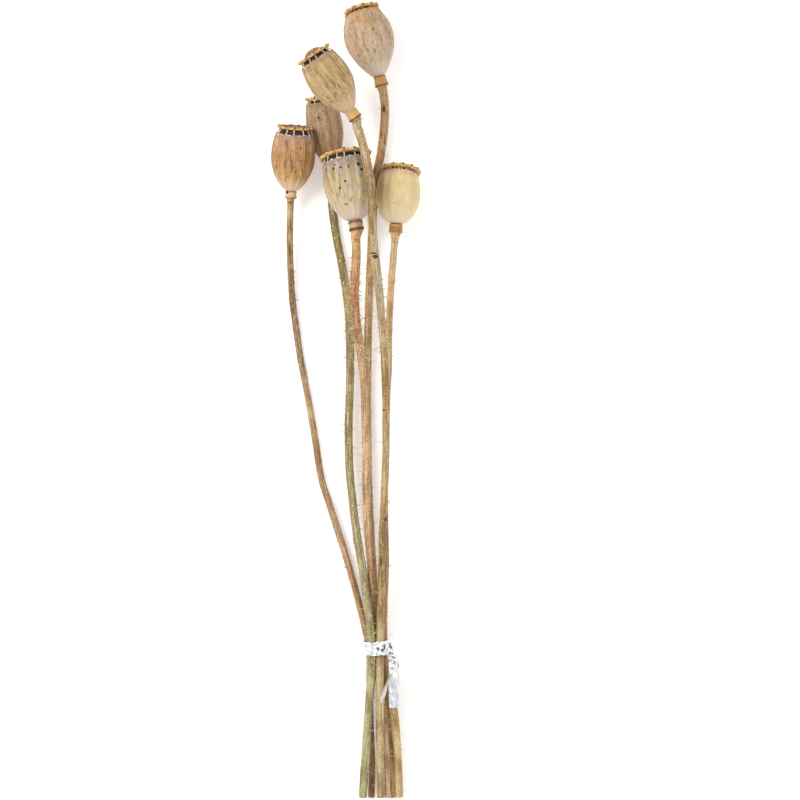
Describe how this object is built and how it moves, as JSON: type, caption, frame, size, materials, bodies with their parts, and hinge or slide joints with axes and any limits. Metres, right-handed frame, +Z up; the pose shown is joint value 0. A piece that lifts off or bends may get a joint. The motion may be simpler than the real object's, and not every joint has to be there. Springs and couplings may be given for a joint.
{
  "type": "dried poppy seed head bunch",
  "caption": "Bunch of dried poppy seed heads on bent stems, lying flat and held by a foil twist tie; ribbed urn capsules with scalloped caps.",
  "frame": {"origin": "middle of the bounding box, on the surface that the bunch lies on", "axes": "+Y along the stems towards the seed heads, +Z up from the surface, +X to the right when the heads point away"},
  "size_m": [0.0955, 0.5135, 0.0646],
  "materials": {
    "stem_tan": "dry matt stem",
    "stem_grey_green": "dry matt stem",
    "stem_olive": "dry matt stem",
    "stem_brown": "dry matt stem",
    "stem_pinkish": "dry matt stem",
    "capsule_grey_tan": "dry matt skin",
    "capsule_straw": "dry matt skin",
    "capsule_brown": "dry matt skin",
    "capsule_rosy_tan": "dry matt skin",
    "capsule_pale": "dry matt skin",
    "capsule_yellow_green": "dry matt skin",
    "stigma_golden_brown": "dry rough",
    "foil": "creased bright foil"
  },
  "bodies": {
    "root": {"stem_top": "stem_tan", "capsule_top": "capsule_grey_tan", "stigma_disc_top": "stigma_golden_brown", "stem_leaning": "stem_grey_green", "capsule_leaning": "capsule_straw", "stigma_disc_leaning": "stigma_golden_brown", "stem_behind": "stem_olive", "capsule_behind": "capsule_brown", "stigma_disc_behind": "stigma_golden_brown", "stem_left": "stem_brown", "capsule_left": "capsule_rosy_tan", "stigma_disc_left": "stigma_golden_brown", "stem_front": "stem_pinkish", "capsule_front": "capsule_pale", "stigma_disc_front": "stigma_golden_brown", "stem_right": "stem_tan", "capsule_right": "capsule_yellow_green", "stigma_disc_right": "stigma_golden_brown", "twist_tie": "foil"}
  },
  "joints": []
}
